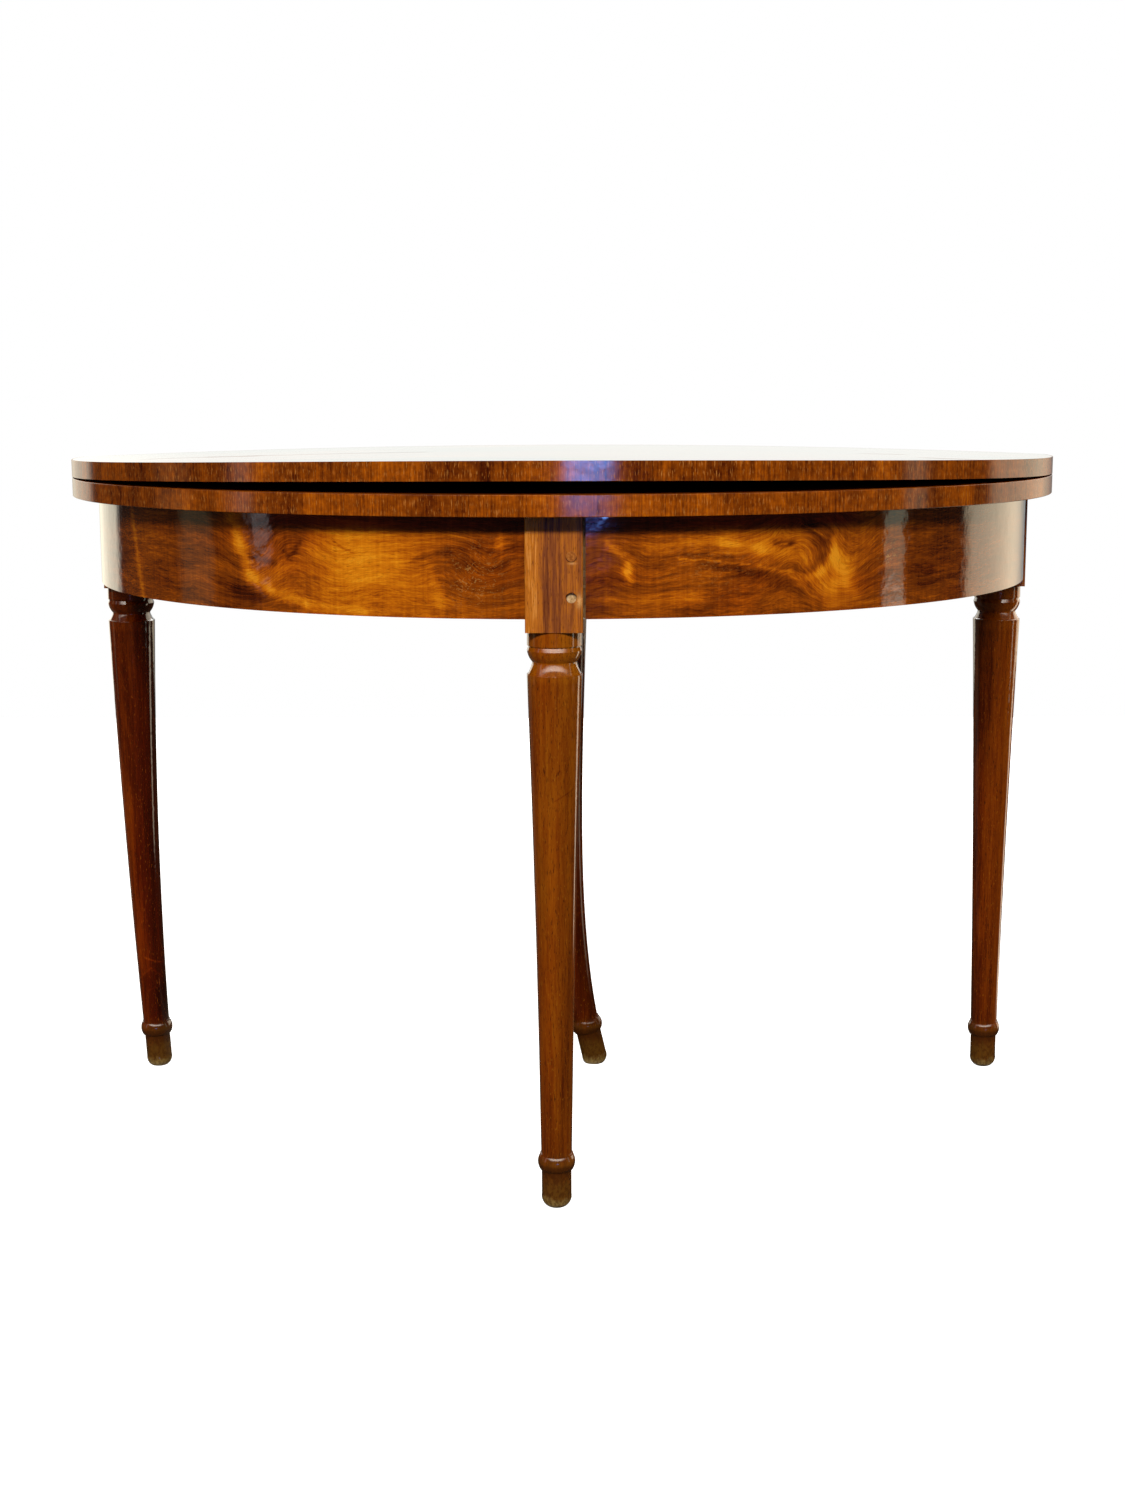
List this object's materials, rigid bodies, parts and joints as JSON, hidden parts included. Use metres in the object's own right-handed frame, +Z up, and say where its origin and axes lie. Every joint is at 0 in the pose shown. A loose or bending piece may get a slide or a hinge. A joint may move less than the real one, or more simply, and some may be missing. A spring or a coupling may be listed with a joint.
{
  "type": "demilune table",
  "caption": "Half-round fold-over table with a bowed folding leaf, a curved figured apron and turned tapering legs, one of them on a swinging gate.",
  "frame": {"origin": "on the floor, under the centre of the closed table's box", "axes": "+Z up; +X along the straight back edge, to the right seen from the front; +Y towards the straight back edge, so the round front faces -Y"},
  "size_m": [1.1498, 0.5784, 0.753],
  "materials": {
    "leaf_veneer": "French-polished mahogany veneer",
    "edge_banding": "polished cross-grain mahogany",
    "flame_veneer": "polished flame-figured mahogany",
    "leg_mahogany": "polished solid mahogany",
    "peg_wood": "worn",
    "softwood": "planed, unpolished, aged",
    "beech": "planed, unpolished, aged",
    "iron": "darkened wrought iron",
    "brass": "aged brass"
  },
  "bodies": {
    "frame": {"lower_leaf_core": "softwood", "lower_leaf_veneer": "leaf_veneer", "lower_leaf_edge_banding": "edge_banding", "apron_left_bricks": "softwood", "apron_right_bricks": "softwood", "apron_left_veneer": "flame_veneer", "apron_right_veneer": "flame_veneer", "front_leg": "leg_mahogany", "front_leg_pegs": "peg_wood", "left_leg": "leg_mahogany", "right_leg": "leg_mahogany", "back_rail": "softwood", "centre_bearer": "softwood", "glue_blocks": "softwood", "top_screws": "iron", "gate_hinge_block": "beech", "hinge_block_screws": "iron", "gate_hinge_pin": "iron", "left_hinge_lower_plate": "brass", "left_hinge_pin": "brass", "right_hinge_lower_plate": "brass", "right_hinge_pin": "brass", "lower_hinge_screws": "brass"},
    "leaf": {"upper_leaf_core": "softwood", "upper_leaf_top_veneer": "leaf_veneer", "upper_leaf_inner_veneer": "leaf_veneer", "upper_leaf_edge_banding": "edge_banding", "left_hinge_upper_plate": "brass", "right_hinge_upper_plate": "brass", "upper_hinge_screws": "brass"},
    "gate": {"gate_rail": "beech", "gate_leg": "leg_mahogany", "gate_leg_peg": "peg_wood"}
  },
  "joints": [
    {"name": "leaf_hinge", "type": "hinge", "parent": "frame", "child": "leaf", "pos_m": [0, 0.28602, 0.72135], "axis": [-1, 0, 0], "range_deg": [0, 180]},
    {"name": "gate_swing", "type": "hinge", "parent": "frame", "child": "gate", "pos_m": [-0.36, 0.23278, 0.6562], "axis": [0, 0, 1], "range_deg": [0, 90]}
  ]
}
